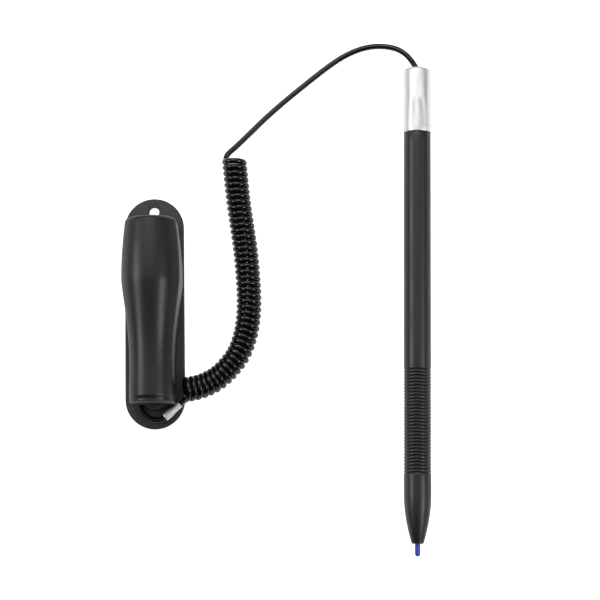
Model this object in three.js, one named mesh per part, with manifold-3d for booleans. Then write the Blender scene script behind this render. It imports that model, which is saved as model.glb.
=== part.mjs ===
// A tethered touch-screen stylus: a pen, a curly cord, and the holder that the cord is anchored to.
// Millimetres, +Z up. The origin is the centre of the holder's adhesive face. The holder lies on
// its back with its mouth towards +Y, and the pen lies beside it on the same surface.

import * as THREE from "three";
import { mergeVertices } from "three/addons/utils/BufferGeometryUtils.js";
import Module from "manifold-3d";

const wasm = await Module();
wasm.setup();

// ---- Driving dimensions -------------------------------------------------------------------------

const PAD_THICKNESS = 0.8; // double-sided foam
const PAD_INSET = 0.5;
const PLATE_MARGIN = 0.25; // how far the backplate stands out beside the cup's widest part
const PLATE_THICKNESS = 1.8;
const PLATE_EDGE = 0.35; // rounding of the plate's front edge
const WALL_SCREW_RADIUS = 1.55; // hole for hanging the holder on a screw
const WALL_SCREW_OFFSET = 4.8; // from the centre of the plate's upper round end, outwards
const PAD_HOLE_CLEARANCE = 0.4; // round the same hole in the foam

const POST_RADIUS = 3.4; // boss that the cord is looped around
const POST_HEIGHT = 2.8;
const CORD_ROOM = 3.6; // around the post, under the cup's foot
const CORE_WALL = 2.5; // between that room and the hollow under the bore
const SCREW_BOSS = 5; // solid stretch from the upper screw to the same hollow

const CUP_LENGTH = 54.2;
const CUP_BELOW_POST = 1.8; // from the post's centre to the cup's foot
const HOLE_ABOVE_CUP = 3.8; // from the cup's mouth to the wall screw's hole
const CUP_UNDER_BORE = 6; // between the bore and the plate
const CUP_DOME = 0.97; // height of the rounded front as a share of the half-width
const CUP_SIDES = [
  // share of the length from foot to mouth, thickness beside the bore
  [0.0, 2.0],
  [0.1, 1.95],
  [0.2, 1.85],
  [0.33, 2.1],
  [0.46, 2.8],
  [0.58, 3.65],
  [0.655, 4.15],
  [0.74, 4.1],
  [0.84, 3.8],
  [0.93, 3.35],
  [1.0, 2.95],
];
const CUP_CORNER = 1.3; // rounding of the mouth and foot edges
const CUP_WALL = 1.6;
const FOOT_GROOVE_DEPTH = 0.35;
const FOOT_GROOVE_WIDTH = 1.1;
const FOOT_LIP = 0.9;
const FOOT_WALL = 2.6; // solid end below the bore
const MOUTH_FLARE = 0.7; // chamfer of the bore's mouth
const BORE_TAPER_SHORT = 2; // how much shorter the bore's taper is than the pen's nose
const UPPER_SCREW_OFFSET = 7.7; // from the mouth down to the upper screw

const PEN_RADIUS = 4.0;
const PEN_BORE_CLEARANCE = 0.4; // between the pen and the bore that it stands in
const PEN_FOOT = new THREE.Vector2(76.37, -72.85); // tip of the nib
const PEN_LEAN = 1.26; // degrees, clockwise
const CAP_STEP = 0.15; // how far the end cap stands out beyond the barrel
const CAP_LENGTH = 19.5;
const CAP_ROUNDING = 0.65;
const CAP_WALL = 0.7;
const CAP_END_WALL = 1.2;
const CAP_CHAMBER = 7; // room behind the end wall for the cord's stop
const BARREL_LENGTH = 122;
const BARREL_WALL = 1.3;
const BARREL_SEGMENTS = 32;
const GRIP_ABOVE_NOSE = 6.232;
const RIB_PITCH = 0.974;
const RIB_COUNT = 32;
const RIB_DEPTH = 0.25;
const NOSE_LENGTH = 14.2;
const NOSE_END_RADIUS = 1.85;
const NOSE_CURVE = 1.9; // how late the nose tapers: 1 is a cone
const NOSE_CHAMFER = 0.3;
const NOSE_BLOCK = 2; // slope inside the nose, from the hollow down to the nib's hole
const NIB_RADIUS = 0.78;
const NIB_REACH = 3.65; // beyond the nose
const NIB_STEM = 16;
const PLUG_SPIGOT = 8; // from the joint between cap and barrel down into the barrel
const PLUG_LEAD_IN = 0.4; // chamfer on the plug's end

const CORD_RADIUS = 0.8;
const CORD_HOLE_CLEARANCE = 0.3; // round the cord, in the cap's end
const COIL_RADIUS = 3.7;
const STOP_WALL = 0.95; // sleeve crimped on the cord inside the cap
const STOP_LENGTH = 4;
const TIP_BELOW_STOP = 0.6; // the cord's end inside the cap
const TIP_ABOVE_CAP = 2.2; // straight stretch of cord outside the cap
const FERRULE_WALL = 0.25;
const FERRULE_NECK_WALL = 0.08; // at its pressed end
const SCREW_RADIUS = 1.0;
const SCREW_HEAD_RADIUS = 2.0;
const SCREW_HEAD_HEIGHT = 1.1;
const SCREW_RECESS = 0.5; // drive in a screw's head
const SCREW_CLEAR = 1.0; // from a screw's tip to the bore
const PILOT_BEYOND = 0.4; // how far a screw's pilot hole runs on past its tip

const GAP = 0.3; // between neighbouring pieces of one cord
const FIT = 0.15; // radial clearance where one piece is inserted in another
const PAST = 1; // how far a cutting shape stands out of what it cuts

// ---- Derived places -----------------------------------------------------------------------------

const PLATE_BACK = PAD_THICKNESS;
const PLATE_FRONT = PLATE_BACK + PLATE_THICKNESS;
const PLATE_SPAN = CUP_LENGTH - CUP_BELOW_POST + HOLE_ABOVE_CUP - WALL_SCREW_OFFSET; // centre to centre
const POST_Y = -PLATE_SPAN / 2;
const WALL_SCREW_Y = PLATE_SPAN / 2 + WALL_SCREW_OFFSET;
const BORE_RADIUS = PEN_RADIUS + PEN_BORE_CLEARANCE;
const SIDES = CUP_SIDES.map(([, thickness]) => thickness);
const CUP_WAIST = BORE_RADIUS + Math.min(...SIDES); // half-width at the narrowest place
const PLATE_RADIUS = BORE_RADIUS + Math.max(...SIDES) + PLATE_MARGIN;
const CUP_FOOT_Y = POST_Y - CUP_BELOW_POST;
const CUP_MOUTH_Y = CUP_FOOT_Y + CUP_LENGTH;
const CUP_AXIS_Z = PLATE_FRONT + CUP_UNDER_BORE + BORE_RADIUS;
const CAP_RADIUS = PEN_RADIUS + CAP_STEP;
const UPPER_SCREW_Y = CUP_MOUTH_Y - UPPER_SCREW_OFFSET;
const SCREW_TIP_Z = CUP_AXIS_Z - BORE_RADIUS - SCREW_CLEAR;
const PEN_LENGTH = CAP_LENGTH + BARREL_LENGTH + NIB_REACH;
const LEAN = THREE.MathUtils.degToRad(PEN_LEAN);

// ---- Materials ----------------------------------------------------------------------------------

function material(color, roughness, metalness = 0) {
  return new THREE.MeshStandardMaterial({ color, roughness, metalness });
}

// ---- Geometry helpers ---------------------------------------------------------------------------

function toSolid(geometry) {
  const bare = geometry.index ? geometry.toNonIndexed() : geometry.clone();
  bare.deleteAttribute("normal");
  bare.deleteAttribute("uv");
  const merged = mergeVertices(bare, 1e-4);
  return new wasm.Manifold(
    new wasm.Mesh({
      numProp: 3,
      vertProperties: merged.attributes.position.array,
      triVerts: new Uint32Array(merged.index.array),
    }),
  );
}

function toGeometry(solid) {
  const mesh = solid.getMesh();
  const geometry = new THREE.BufferGeometry();
  geometry.setAttribute("position", new THREE.BufferAttribute(mesh.vertProperties, 3));
  geometry.setIndex(new THREE.BufferAttribute(mesh.triVerts, 1));
  geometry.computeVertexNormals();
  return geometry;
}

// Joins the added pieces to a body and then cuts the removed ones from it.
function carve(body, { add = [], cut = [] }) {
  let solid = toSolid(body);
  for (const piece of add) solid = solid.add(toSolid(piece));
  for (const piece of cut) solid = solid.subtract(toSolid(piece));
  return toGeometry(solid);
}

// A rod whose axis runs along Z at (x, y).
function postAlongZ(radius, x, y, z0, z1, segments = 40) {
  return new THREE.CylinderGeometry(radius, radius, z1 - z0, segments)
    .rotateX(Math.PI / 2)
    .translate(x, y, (z0 + z1) / 2);
}

function block(x0, x1, y0, y1, z0, z1) {
  return new THREE.BoxGeometry(x1 - x0, y1 - y0, z1 - z0).translate(
    (x0 + x1) / 2,
    (y0 + y1) / 2,
    (z0 + z1) / 2,
  );
}

// A plate with straight sides and round ends, its long way along Y.
function stadium(radius, span, z0, z1, edge = 0) {
  const shape = new THREE.Shape();
  const r = radius - edge;
  shape.absarc(0, span / 2, r, 0, Math.PI);
  shape.absarc(0, -span / 2, r, Math.PI, 2 * Math.PI);
  const flat = new THREE.ExtrudeGeometry(shape, {
    depth: z1 - z0 - 2 * edge,
    curveSegments: 28,
    bevelEnabled: edge > 0,
    bevelSize: edge,
    bevelThickness: edge,
    bevelSegments: 3,
  });
  return flat.translate(0, 0, z0 + edge);
}

// A closed profile of [radius, height] points turned about the Y axis.
function turned(profile, segments = 40) {
  return new THREE.LatheGeometry(
    profile.map(([r, y]) => new THREE.Vector2(r, y)),
    segments,
  );
}

// A round rod of the given number of sides along a curve.
function rodAlong(curve, radius, sides, steps) {
  const section = new THREE.Shape();
  for (let i = 0; i < sides; i += 1) {
    const angle = (2 * Math.PI * i) / sides;
    const x = radius * Math.cos(angle);
    const y = radius * Math.sin(angle);
    if (i === 0) section.moveTo(x, y);
    else section.lineTo(x, y);
  }
  section.closePath();
  return new THREE.ExtrudeGeometry(section, { steps, bevelEnabled: false, extrudePath: curve });
}

function curveThrough(points) {
  return new THREE.CatmullRomCurve3(
    points.map(([x, y, z]) => new THREE.Vector3(x, y, z)),
    false,
    "centripetal",
  );
}

// ---- Holder -------------------------------------------------------------------------------------

function adhesivePad() {
  const radius = WALL_SCREW_RADIUS + PAD_HOLE_CLEARANCE;
  const hole = postAlongZ(radius, 0, WALL_SCREW_Y, -PAST, PAD_THICKNESS + PAST);
  return carve(stadium(PLATE_RADIUS - PAD_INSET, PLATE_SPAN, 0, PAD_THICKNESS), { cut: [hole] });
}

// Clearance hole and countersink of one of the screws that go in from the back.
function screwSeat(y, top) {
  const radius = SCREW_RADIUS + FIT;
  const head = SCREW_HEAD_RADIUS + FIT;
  const z0 = PLATE_BACK;
  const cone = turned([
    [0, z0 - PAST],
    [head, z0 - PAST],
    [head, z0],
    [radius, z0 + SCREW_HEAD_HEIGHT + FIT],
    [radius, top],
    [0, top],
  ]);
  return cone.rotateX(Math.PI / 2).translate(0, y, 0);
}

function basePlate() {
  const plate = stadium(PLATE_RADIUS, PLATE_SPAN, PLATE_BACK, PLATE_FRONT, PLATE_EDGE);
  const postTop = PLATE_FRONT + POST_HEIGHT;
  const post = postAlongZ(POST_RADIUS, 0, POST_Y, PLATE_BACK + PLATE_EDGE, postTop);
  const back = PLATE_BACK - PAST;
  const front = PLATE_FRONT + PAST;
  const wallHole = postAlongZ(WALL_SCREW_RADIUS, 0, WALL_SCREW_Y, back, front);
  return carve(plate, {
    add: [post],
    cut: [wallHole, screwSeat(UPPER_SCREW_Y, front), screwSeat(POST_Y, postTop + PAST)],
  });
}

const sideCurve = new THREE.SplineCurve(
  CUP_SIDES.map(([share, thickness]) => new THREE.Vector2(share, thickness)),
);

// Half-width of the cup at a distance from its foot, with round corners.
function cupHalfWidth(distance) {
  const share = distance / CUP_LENGTH;
  const spans = CUP_SIDES.length - 1;
  const index = CUP_SIDES.findIndex(([place]) => place > share);
  const i = index < 0 ? spans - 1 : index - 1;
  const [low, high] = [CUP_SIDES[i][0], CUP_SIDES[i + 1][0]];
  const thickness = sideCurve.getPoint((i + (share - low) / (high - low)) / spans).y;
  const toEnd = Math.min(distance, CUP_LENGTH - distance);
  const corner = Math.max(0, CUP_CORNER - toEnd);
  const rounding = CUP_CORNER - Math.sqrt(CUP_CORNER ** 2 - corner ** 2);
  return BORE_RADIUS + thickness - rounding;
}

// Depth of the groove that runs across the round front above the foot.
function footGroove(distance) {
  const place = (distance - FOOT_LIP - FOOT_GROOVE_WIDTH / 2) / (FOOT_GROOVE_WIDTH / 2);
  return FOOT_GROOVE_DEPTH * Math.exp(-(place ** 2));
}

// The cup's outside: straight sides on the plate, and a round front over the bore.
function cupBlank() {
  const arcSteps = 26;
  const plainSteps = 22;
  const corner = [0, 0.12, 0.3, 0.6, 1].map((share) => share * CUP_CORNER);
  const foot = FOOT_LIP + FOOT_GROOVE_WIDTH;
  const groove = [0, 0.25, 0.5, 0.75, 1, 1.6].map((share) => FOOT_LIP + share * FOOT_GROOVE_WIDTH);
  const plainStart = Math.max(CUP_CORNER, foot + FOOT_GROOVE_WIDTH);
  const plainLength = CUP_LENGTH - CUP_CORNER - plainStart;
  const distances = [...corner, ...groove, ...corner.map((back) => CUP_LENGTH - back)];
  for (let i = 0; i < plainSteps; i += 1) distances.push(plainStart + (plainLength * i) / plainSteps);
  distances.sort((a, b) => a - b);
  const positions = [];
  for (const distance of distances) {
    const half = cupHalfWidth(distance);
    const groove = footGroove(distance);
    const ring = [[half, PLATE_FRONT]];
    for (let i = 0; i <= arcSteps; i += 1) {
      const angle = (Math.PI * i) / arcSteps;
      const reach = half - groove * Math.sin(angle);
      ring.push([reach * Math.cos(angle), CUP_AXIS_Z + CUP_DOME * reach * Math.sin(angle)]);
    }
    ring.push([-half, PLATE_FRONT]);
    for (const [x, z] of ring) positions.push(x, CUP_FOOT_Y + distance, z);
  }
  const count = arcSteps + 3;
  const faces = [];
  for (let row = 0; row < distances.length - 1; row += 1) {
    for (let i = 0; i < count; i += 1) {
      const a = row * count + i;
      const b = row * count + ((i + 1) % count);
      faces.push(a, a + count, b, b, a + count, b + count);
    }
  }
  const last = (distances.length - 1) * count;
  for (let i = 1; i < count - 1; i += 1) {
    faces.push(0, i, i + 1);
    faces.push(last, last + i + 1, last + i);
  }
  const geometry = new THREE.BufferGeometry();
  geometry.setAttribute("position", new THREE.Float32BufferAttribute(positions, 3));
  geometry.setIndex(faces);
  return geometry;
}

function penCup() {
  const floor = CUP_FOOT_Y + FOOT_WALL;
  const taper = NOSE_LENGTH - BORE_TAPER_SHORT;
  const bore = turned([
    [0, floor],
    [NOSE_END_RADIUS + PEN_BORE_CLEARANCE, floor],
    [BORE_RADIUS, floor + taper],
    [BORE_RADIUS, CUP_MOUTH_Y - MOUTH_FLARE],
    [BORE_RADIUS + MOUTH_FLARE, CUP_MOUTH_Y],
    [BORE_RADIUS + MOUTH_FLARE, CUP_MOUTH_Y + PAST],
    [0, CUP_MOUTH_Y + PAST],
  ]).translate(0, 0, CUP_AXIS_Z);
  const roomEnd = POST_Y + POST_RADIUS + CORD_ROOM;
  const low = PLATE_FRONT - PAST;
  const across = PLATE_RADIUS + PAST;
  const room = block(-across, across, CUP_FOOT_Y - PAST, roomEnd, low, PLATE_FRONT + POST_HEIGHT);
  const inside = CUP_WAIST - CUP_WALL;
  const coreTop = CUP_AXIS_Z - BORE_RADIUS - CUP_WALL;
  const coreEnd = UPPER_SCREW_Y - SCREW_BOSS;
  const core = block(-inside, inside, roomEnd + CORE_WALL, coreEnd, low, coreTop);
  const pilots = [UPPER_SCREW_Y, POST_Y].map((y) =>
    postAlongZ(SCREW_RADIUS + FIT, 0, y, low, SCREW_TIP_Z + PILOT_BEYOND, 20),
  );
  return carve(cupBlank(), { cut: [bore, core, room, ...pilots] });
}

function cupScrew(y) {
  const head = PLATE_BACK + 0.05;
  return turned(
    [
      [0, head + SCREW_RECESS],
      [SCREW_RECESS, head],
      [SCREW_HEAD_RADIUS, head],
      [SCREW_RADIUS, PLATE_BACK + SCREW_HEAD_HEIGHT],
      [SCREW_RADIUS, SCREW_TIP_Z - SCREW_RADIUS],
      [0, SCREW_TIP_Z],
    ],
    24,
  )
    .rotateX(Math.PI / 2)
    .translate(0, y, 0);
}

// ---- Cord ---------------------------------------------------------------------------------------

// Route of the plain lead, from the coil's upper end to the pen's end cap.
const LEAD_ROUTE = [
  [21.8, 47.6, 0.85],
  [24.8, 50.5, 0.85],
  [28.6, 54.1, 0.85],
  [33.5, 58.8, 0.85],
  [38.4, 63.1, 0.85],
  [43.3, 67.1, 0.85],
  [48.2, 71.0, 0.85],
  [53.1, 74.7, 0.85],
  [58.0, 77.8, 0.9],
  [62.9, 79.7, 1.3],
  [67.7, 80.2, 2.2],
  [72.5, 79.2, 3.3],
  [76.4, 77.0, 4.0],
  [78.6, 75.2, 4.15],
];

// Middle of the coil, from the holder's lower end to the lead.
const COIL_ROUTE = [
  [8.4, -23.55, 7.1],
  [13.5, -22.4, 5.3],
  [17.9, -20.3, 4.2],
  [20.9, -17.8, 3.85],
  [24.7, -13.1, 3.75],
  [27.0, -7.2, 3.75],
  [28.0, -1.2, 3.75],
  [28.2, 4.0, 3.75],
  [28.0, 9.3, 3.75],
  [27.3, 18.3, 3.75],
  [26.3, 25.9, 3.75],
  [25.3, 33.5, 3.75],
  [24.15, 46.3, 3.75],
];

// The cord leaves the coil through this ferrule.
const FERRULE_START = new THREE.Vector3(3.16, -30.75, 3.95);
const FERRULE_END = new THREE.Vector3(7.7, -27.35, 3.95);

// From the ferrule round the post to the cord's own end, which is tucked under the cup.
const LOOP_ROUTE = [
  [2.8, -31.0, 3.9],
  [0.6, -31.3, 3.75],
  [-2.1, -30.4, 3.6],
  [-4.0, -28.5, 3.5],
  [-4.75, -25.9, 3.5],
  [-4.2, -23.4, 3.5],
  [-2.4, -21.5, 3.5],
  [0.0, -20.7, 3.5],
  [2.6, -21.2, 3.5],
  [4.3, -22.9, 3.5],
  [4.95, -25.0, 3.5],
];

function crimpFerrule() {
  const length = FERRULE_END.distanceTo(FERRULE_START);
  const inner = CORD_RADIUS + FIT;
  const outer = inner + FERRULE_WALL;
  const neck = inner + FERRULE_NECK_WALL;
  const sleeve = turned(
    [
      [inner, 0],
      [outer, 0],
      [outer, length * 0.35],
      [neck, length * 0.7],
      [neck, length],
      [inner, length],
      [inner, 0],
    ],
    24,
  );
  const direction = FERRULE_END.clone().sub(FERRULE_START).normalize();
  const turn = new THREE.Quaternion().setFromUnitVectors(new THREE.Vector3(0, 1, 0), direction);
  return sleeve.applyQuaternion(turn).translate(...FERRULE_START.toArray());
}

// ---- Pen (its axis runs along Y, nib at the origin) ---------------------------------------------

const SEAM_Y = PEN_LENGTH - CAP_LENGTH;
const NOSE_TIP_Y = NIB_REACH;
const NOSE_ROOT_Y = NOSE_TIP_Y + NOSE_LENGTH;

function endCap() {
  const top = PEN_LENGTH;
  const inside = CAP_RADIUS - CAP_WALL;
  const hole = CORD_RADIUS + CORD_HOLE_CLEARANCE;
  const profile = [
    [inside, SEAM_Y],
    [CAP_RADIUS, SEAM_Y],
  ];
  for (const turn of [0, 30, 60, 90]) {
    const angle = THREE.MathUtils.degToRad(turn);
    const radius = CAP_RADIUS - CAP_ROUNDING * (1 - Math.cos(angle));
    profile.push([radius, top - CAP_ROUNDING * (1 - Math.sin(angle))]);
  }
  profile.push([hole, top], [hole, top - CAP_END_WALL], [inside, top - CAP_END_WALL]);
  profile.push([inside, SEAM_Y]);
  return turned(profile);
}

function capPlug() {
  const upper = CAP_RADIUS - CAP_WALL - FIT;
  const lower = PEN_RADIUS - BARREL_WALL - FIT;
  const top = PEN_LENGTH - CAP_END_WALL - CAP_CHAMBER;
  return turned([
    [0, SEAM_Y - PLUG_SPIGOT],
    [lower - PLUG_LEAD_IN, SEAM_Y - PLUG_SPIGOT],
    [lower, SEAM_Y - PLUG_SPIGOT + 2 * PLUG_LEAD_IN],
    [lower, SEAM_Y + FIT],
    [upper, SEAM_Y + FIT],
    [upper, top],
    [0, top],
  ]);
}

function cordStop() {
  const top = PEN_LENGTH - CAP_END_WALL - GAP;
  const inner = CORD_RADIUS + FIT;
  const outer = inner + STOP_WALL;
  return turned([
    [inner, top - STOP_LENGTH],
    [outer, top - STOP_LENGTH],
    [outer, top],
    [inner, top],
    [inner, top - STOP_LENGTH],
  ]);
}

function cordTip() {
  const low = PEN_LENGTH - CAP_END_WALL - GAP - STOP_LENGTH - TIP_BELOW_STOP;
  const high = PEN_LENGTH + TIP_ABOVE_CAP;
  return turned(
    [
      [0, low],
      [CORD_RADIUS, low],
      [CORD_RADIUS, high],
      [0, high],
    ],
    12,
  );
}

// Radius of the nose at a share of its length from the root to the tip.
function noseRadius(share) {
  return PEN_RADIUS - (PEN_RADIUS - NOSE_END_RADIUS) * share ** NOSE_CURVE;
}

function barrel() {
  const inner = PEN_RADIUS - BARREL_WALL;
  const stemHole = NIB_RADIUS + FIT;
  const steps = 12;
  const profile = [
    [stemHole, NOSE_TIP_Y],
    [NOSE_END_RADIUS - NOSE_CHAMFER, NOSE_TIP_Y],
    [NOSE_END_RADIUS, NOSE_TIP_Y + NOSE_CHAMFER],
  ];
  for (let i = steps - 1; i >= 0; i -= 1) {
    profile.push([noseRadius(i / steps), NOSE_ROOT_Y - (NOSE_LENGTH * i) / steps]);
  }
  const gripLow = NOSE_ROOT_Y + GRIP_ABOVE_NOSE;
  for (let i = 0; i < RIB_COUNT; i += 1) {
    profile.push([PEN_RADIUS, gripLow + RIB_PITCH * i]);
    profile.push([PEN_RADIUS - RIB_DEPTH, gripLow + RIB_PITCH * (i + 0.5)]);
  }
  profile.push([PEN_RADIUS, gripLow + RIB_PITCH * RIB_COUNT]);
  profile.push([PEN_RADIUS, SEAM_Y - FIT]);
  profile.push([inner, SEAM_Y - FIT]);
  profile.push([inner, NOSE_ROOT_Y]);
  profile.push([stemHole, NOSE_ROOT_Y - NOSE_BLOCK]);
  profile.push([stemHole, NOSE_TIP_Y]);
  return turned(profile, BARREL_SEGMENTS);
}

function nib() {
  const top = NOSE_TIP_Y + NIB_STEM;
  const steps = 5;
  const profile = [[0, 0]];
  for (let i = 1; i <= steps; i += 1) {
    const angle = (Math.PI / 2) * (i / steps);
    profile.push([NIB_RADIUS * Math.sin(angle), NIB_RADIUS * (1 - Math.cos(angle))]);
  }
  profile.push([NIB_RADIUS, top]);
  profile.push([0, top]);
  return turned(profile, 24);
}

// ---- Assembly -----------------------------------------------------------------------------------

function node(name, geometry, finish) {
  const mesh = new THREE.Mesh(geometry, finish);
  mesh.name = name;
  return mesh;
}

const holder = new THREE.Group();
holder.add(
  node("adhesive_pad", adhesivePad(), material(0x9a9a96, 0.9)),
  node("base_plate", basePlate(), material(0x2b2b2c, 0.55)),
  node("pen_cup", penCup(), material(0x242425, 0.42)),
  node("cup_screw_upper", cupScrew(UPPER_SCREW_Y), material(0xa8a9a6, 0.35, 1)),
  node("cup_screw_lower", cupScrew(POST_Y), material(0xa8a9a6, 0.35, 1)),
);

const tether = new THREE.Group();
const cordFinish = () => material(0x121213, 0.25);
tether.add(
  node("cord_loop", rodAlong(curveThrough(LOOP_ROUTE), CORD_RADIUS, 8, 24), cordFinish()),
  node("crimp_ferrule", crimpFerrule(), material(0xc9cac8, 0.35, 1)),
  node("cord_coil", rodAlong(curveThrough(COIL_ROUTE), COIL_RADIUS, 16, 40), cordFinish()),
  node("cord_lead", rodAlong(curveThrough(LEAD_ROUTE), CORD_RADIUS, 8, 30), cordFinish()),
);

const pen = new THREE.Group();
pen.position.set(PEN_FOOT.x, PEN_FOOT.y, CAP_RADIUS);
pen.rotation.z = -LEAN;
pen.add(
  node("cord_tip", cordTip(), cordFinish()),
  node("cord_stop", cordStop(), material(0xb08d4f, 0.35, 1)),
  node("end_cap", endCap(), material(0xd6d6d4, 0.3, 1)),
  node("cap_plug", capPlug(), material(0x2f3032, 0.5)),
  node("barrel", barrel(), material(0x232324, 0.4)),
  node("nib", nib(), material(0x3b47a5, 0.35)),
);

const stylus = new THREE.Group();
stylus.add(holder, tether, pen);

export default stylus;
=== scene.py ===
"""The looks of a tethered touch-screen stylus: pen, curly cord and the holder it is anchored to."""

import math

import bpy
from bpy.props import FloatProperty, FloatVectorProperty, IntProperty, PointerProperty
from mathutils import Matrix, Vector


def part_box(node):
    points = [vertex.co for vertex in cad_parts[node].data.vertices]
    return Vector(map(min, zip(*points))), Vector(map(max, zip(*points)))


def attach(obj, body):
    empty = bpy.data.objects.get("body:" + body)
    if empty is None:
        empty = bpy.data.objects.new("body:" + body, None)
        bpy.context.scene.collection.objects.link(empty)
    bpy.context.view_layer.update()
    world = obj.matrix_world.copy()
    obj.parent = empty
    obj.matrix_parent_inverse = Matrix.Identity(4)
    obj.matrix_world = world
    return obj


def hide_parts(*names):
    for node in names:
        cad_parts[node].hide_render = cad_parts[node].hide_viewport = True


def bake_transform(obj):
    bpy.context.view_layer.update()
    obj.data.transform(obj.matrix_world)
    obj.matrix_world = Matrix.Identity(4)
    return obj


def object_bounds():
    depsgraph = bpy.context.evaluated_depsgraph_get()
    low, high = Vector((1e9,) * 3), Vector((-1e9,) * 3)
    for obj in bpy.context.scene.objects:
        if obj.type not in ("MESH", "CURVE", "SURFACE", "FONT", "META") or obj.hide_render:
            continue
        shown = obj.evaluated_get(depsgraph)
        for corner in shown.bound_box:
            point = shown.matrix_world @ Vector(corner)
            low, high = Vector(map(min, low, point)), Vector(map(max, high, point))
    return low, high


bl_info = {
    "name": "Tethered Stylus",
    "version": (1, 0, 0),
    "blender": (4, 5, 0),
    "location": "3D View > Sidebar > Stylus",
    "description": "Builds a tethered stylus, its curly cord and its holder around a CAD frame",
    "category": "Add Mesh",
}

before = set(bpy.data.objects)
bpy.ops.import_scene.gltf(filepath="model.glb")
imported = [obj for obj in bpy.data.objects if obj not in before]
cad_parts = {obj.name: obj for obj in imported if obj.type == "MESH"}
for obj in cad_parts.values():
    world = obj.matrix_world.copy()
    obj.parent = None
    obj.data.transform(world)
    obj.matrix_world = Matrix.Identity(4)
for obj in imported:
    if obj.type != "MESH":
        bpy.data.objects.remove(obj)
cad_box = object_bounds()

MM = 0.001

# ---- Routes and outlines ------------------------------------------------------------------------

# The plain lead, from the coil's upper end to the pen's end cap.
LEAD_ROUTE = [
    (0.0218, 0.0476, 0.00085),
    (0.0248, 0.0505, 0.00085),
    (0.0286, 0.0541, 0.00085),
    (0.0335, 0.0588, 0.00085),
    (0.0384, 0.0631, 0.00085),
    (0.0433, 0.0671, 0.00085),
    (0.0482, 0.0710, 0.00085),
    (0.0531, 0.0747, 0.00085),
    (0.0580, 0.0778, 0.0009),
    (0.0629, 0.0797, 0.0013),
    (0.0677, 0.0802, 0.0022),
    (0.0725, 0.0793, 0.0033),
    (0.0750, 0.0780, 0.0039),
    (0.0771, 0.0761, 0.0041),
]

# Middle of the coil, from the holder's lower end to the lead.
COIL_ROUTE = [
    (0.0084, -0.02355, 0.0071),
    (0.0135, -0.0224, 0.0053),
    (0.0179, -0.0203, 0.0042),
    (0.0209, -0.0178, 0.00385),
    (0.0247, -0.0131, 0.00375),
    (0.0270, -0.0072, 0.00375),
    (0.0280, -0.0012, 0.00375),
    (0.0282, 0.0040, 0.00375),
    (0.0280, 0.0093, 0.00375),
    (0.0273, 0.0183, 0.00375),
    (0.0263, 0.0259, 0.00375),
    (0.0253, 0.0335, 0.00375),
    (0.02415, 0.0463, 0.00375),
]

# From the ferrule round the post to the cord's own end, which is tucked under the cup.
LOOP_ROUTE = [
    (0.0016, -0.0319, 0.0039),
    (-0.0002, -0.0319, 0.00378),
    (-0.0023, -0.0309, 0.0036),
    (-0.0041, -0.0288, 0.0035),
    (-0.0048, -0.0260, 0.0035),
    (-0.0042, -0.0234, 0.0035),
    (-0.0024, -0.0215, 0.0035),
    (0.0, -0.0207, 0.0035),
    (0.0026, -0.0212, 0.0035),
    (0.0043, -0.0229, 0.0035),
    (0.00495, -0.0250, 0.0035),
]

# From the ferrule up to the near side of the coil's first turn.
RISE_ROUTE = [
    (0.0082, -0.0269, 0.0042),
    (0.0087, -0.0266, 0.0049),
    (0.0090, -0.0265, 0.0059),
]
FERRULE_START = Vector((0.00300, -0.03120, 0.00395))
FERRULE_END = Vector((0.00755, -0.02737, 0.00395))

# Half-width of the cup as a share of its length from the foot, below and above its crease.
CUP_BELOW = [
    (0.0, 6.4), (0.1, 6.35), (0.2, 6.25), (0.33, 6.5), (0.46, 7.2), (0.58, 8.05), (0.655, 8.55),
]
CUP_ABOVE = [(0.655, 8.55), (0.74, 8.5), (0.84, 8.2), (0.93, 7.75), (1.0, 7.35)]


def linear(hex_colour):
    """The linear colour of an sRGB hex value such as #232324."""
    channels = [int(hex_colour[i : i + 2], 16) / 255 for i in (1, 3, 5)]
    return tuple(c / 12.92 if c <= 0.04045 else ((c + 0.055) / 1.055) ** 2.4 for c in channels)


# ---- Settings -----------------------------------------------------------------------------------


def length(name, description, default_mm):
    return FloatProperty(
        name=name, description=description, default=default_mm * MM, unit="LENGTH", precision=5
    )


def colour(name, description, hex_colour):
    return FloatVectorProperty(
        name=name, description=description, default=linear(hex_colour), size=3,
        subtype="COLOR", min=0, max=1,
    )


class StylusHolderSettings(bpy.types.PropertyGroup):
    plate_radius: length("Plate radius", "Radius of the backplate's round ends", 8.8)
    plate_edge: length("Plate edge", "Rounding of the backplate's front edge", 0.35)
    hole_radius: length("Hole radius", "Radius of the hole for a wall screw", 1.55)
    hole_offset: length("Hole offset", "From the plate's upper end to the hole's middle", 4.0)
    post_radius: length("Post radius", "Radius of the post that the cord is looped round", 3.4)
    cord_room: length("Cord room", "Free room round the post, under the cup's foot", 3.6)
    bore_radius: length("Bore radius", "Radius of the bore that the pen stands in", 4.4)
    bore_floor: length("Bore floor", "Solid end below the bore", 2.6)
    cup_corner: length("Cup corner", "Rounding of the cup's mouth and foot edges", 1.3)
    dome: FloatProperty(
        name="Dome", description="Height of the round front over its half-width", default=0.97
    )
    cup_colour: colour("Cup colour", "Satin moulded ABS of the cup", "#161617")
    plate_colour: colour("Plate colour", "Spark-eroded ABS of the backplate", "#262627")
    pad_colour: colour("Pad colour", "Closed-cell foam tape", "#8f8f8b")


class StylusCordSettings(bpy.types.PropertyGroup):
    diameter: length("Cord diameter", "Outer diameter of the cord's jacket", 1.7)
    coil_radius: length("Coil radius", "From the coil's middle to the middle of the cord", 2.9)
    turns: IntProperty(
        name="Turns", description="Whole turns of the curly stretch", default=44, min=4
    )
    jacket_colour: colour("Jacket colour", "Glossy polyurethane jacket", "#0b0b0c")
    ferrule_colour: colour("Ferrule colour", "Bare pressed aluminium", "#f6f6f5")


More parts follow.
